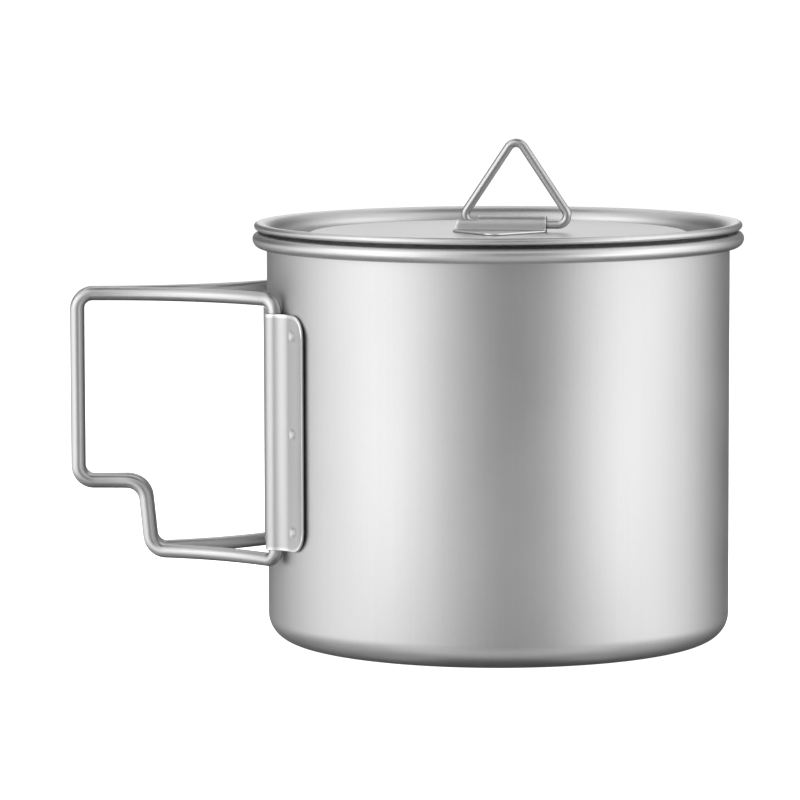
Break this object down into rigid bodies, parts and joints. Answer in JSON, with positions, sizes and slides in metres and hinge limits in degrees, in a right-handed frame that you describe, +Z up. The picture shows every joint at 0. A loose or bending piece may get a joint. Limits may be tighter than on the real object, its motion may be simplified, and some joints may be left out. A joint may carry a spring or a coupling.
{
  "type": "cooking pot",
  "caption": "Straight-sided metal camping pot with a rolled rim, folding wire handles hinged on a sheet bracket, and a pressed lid with a fold-down wire ring.",
  "frame": {"origin": "centre of the underside of the pot's base, which it stands on", "axes": "+Z up through the pot's mouth, the open handles towards -X, the lid ring's hinge 9 degrees off X"},
  "size_m": [0.1396, 0.1016, 0.1038],
  "materials": {
    "pot_metal": "fine blasted titanium, satin grey with a faint grain",
    "lid_metal": "fine blasted titanium, satin grey",
    "bracket_metal": "blasted titanium sheet, satin grey with bright cut edges",
    "clip_metal": "blasted titanium sheet, satin grey",
    "handle_wire_metal": "drawn titanium wire, semi-bright grey",
    "ring_wire_metal": "drawn titanium wire, semi-bright grey"
  },
  "bodies": {
    "pot": {"pot_body": "pot_metal", "handle_bracket": "bracket_metal", "bracket_spot_welds": "bracket_metal"},
    "right_grip": {"right_handle": "handle_wire_metal"},
    "left_grip": {"left_handle": "handle_wire_metal"},
    "lid": {"lid_pan": "lid_metal", "lid_clip": "clip_metal", "clip_spot_welds": "clip_metal"},
    "ring": {"lid_ring": "ring_wire_metal"}
  },
  "joints": [
    {"name": "right_handle_fold", "type": "hinge", "parent": "pot", "child": "right_grip", "pos_m": [-0.04585, -0.01852, 0.045], "axis": [0, 0, 1], "range_deg": [0, 156]},
    {"name": "left_handle_fold", "type": "hinge", "parent": "pot", "child": "left_grip", "pos_m": [-0.04585, 0.01852, 0.045], "axis": [0, 0, -1], "range_deg": [0, 156]},
    {"name": "lid_lift", "type": "slide", "parent": "pot", "child": "lid", "axis": [0, 0, 1], "range_m": [0, 0.1]},
    {"name": "ring_fold", "type": "hinge", "parent": "lid", "child": "ring", "pos_m": [0, 0, 0.08605], "axis": [-0.9877, 0.1564, 0], "range_deg": [0, 90]}
  ]
}
